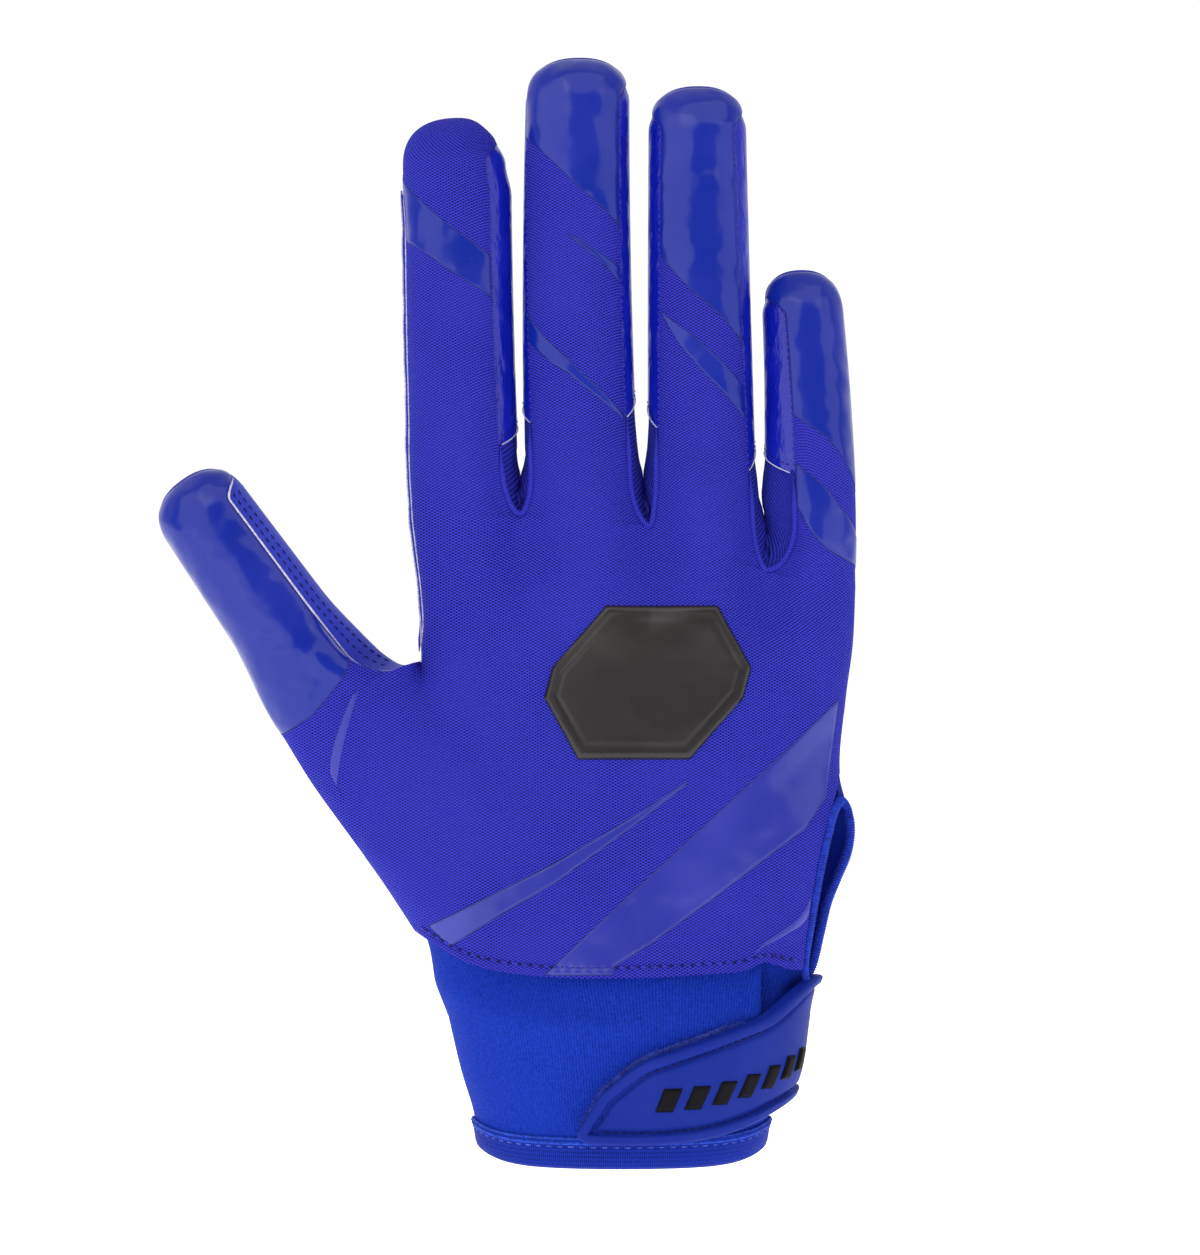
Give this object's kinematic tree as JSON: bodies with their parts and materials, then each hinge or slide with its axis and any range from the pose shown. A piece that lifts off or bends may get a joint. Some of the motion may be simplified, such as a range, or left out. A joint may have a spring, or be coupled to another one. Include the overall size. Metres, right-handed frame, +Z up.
{
  "type": "football receiver glove",
  "caption": "Right-hand receiver glove shown as worn: knit back, coated palm and finger sides, glossy printed films, stretch cuff with a moulded wrist strap",
  "frame": {"origin": "the middle of the wrist opening at the bottom of the cuff, where the wearer's wrist goes in", "axes": "+Z up from the wrist to the fingertips, +X across the hand from thumb to little finger, +Y from the back of the hand to the palm"},
  "size_m": [0.1445, 0.0537, 0.2268],
  "materials": {
    "knit": "fine matt stretch knit, royal blue",
    "palm_coating": "smooth tacky coated synthetic leather, blue",
    "web_knit": "knit with diagonal ribs, blue",
    "coated_side": "coated synthetic, bright blue satin",
    "gloss_film": "thin glossy heat-pressed film, blue",
    "black_gloss": "glossy black raised emblem field, bare",
    "cuff_knit": "thick stretch knit with fine upright ribs, bright blue",
    "hem_tape": "woven ribbed edge tape, dark blue",
    "overlock_thread": "overlocked thread, bright blue",
    "hook_tape": "hook tape, dark blue",
    "strap_rubber": "moulded soft rubber, satin blue",
    "black_print": "raised black rubber bars"
  },
  "bodies": {
    "root": {"back_panel": "knit", "palm_panel": "palm_coating", "web_index_middle": "web_knit", "web_middle_ring": "web_knit", "web_ring_little": "web_knit", "sidewall_index_right": "coated_side", "sidewall_middle_left": "coated_side", "sidewall_middle_right": "coated_side", "sidewall_ring_left": "coated_side", "sidewall_ring_right": "coated_side", "sidewall_little_left": "coated_side", "film_index_band": "gloss_film", "film_middle_tip": "gloss_film", "film_middle_sliver": "gloss_film", "film_middle_low": "gloss_film", "film_ring_tip": "gloss_film", "film_ring_low": "gloss_film", "film_little_tip": "gloss_film", "film_little_low": "gloss_film", "film_thumb_cap": "gloss_film", "film_hand_wide": "gloss_film", "film_hand_narrow": "gloss_film", "back_badge": "black_gloss", "cuff": "cuff_knit", "hem_binding": "hem_tape", "vent_binding": "overlock_thread", "strap_hook_patch": "hook_tape", "strap": "strap_rubber", "strap_bar_1": "black_print", "strap_bar_2": "black_print", "strap_bar_3": "black_print", "strap_bar_4": "black_print", "strap_bar_5": "black_print", "strap_bar_6": "black_print", "strap_bar_7": "black_print"}
  },
  "joints": []
}
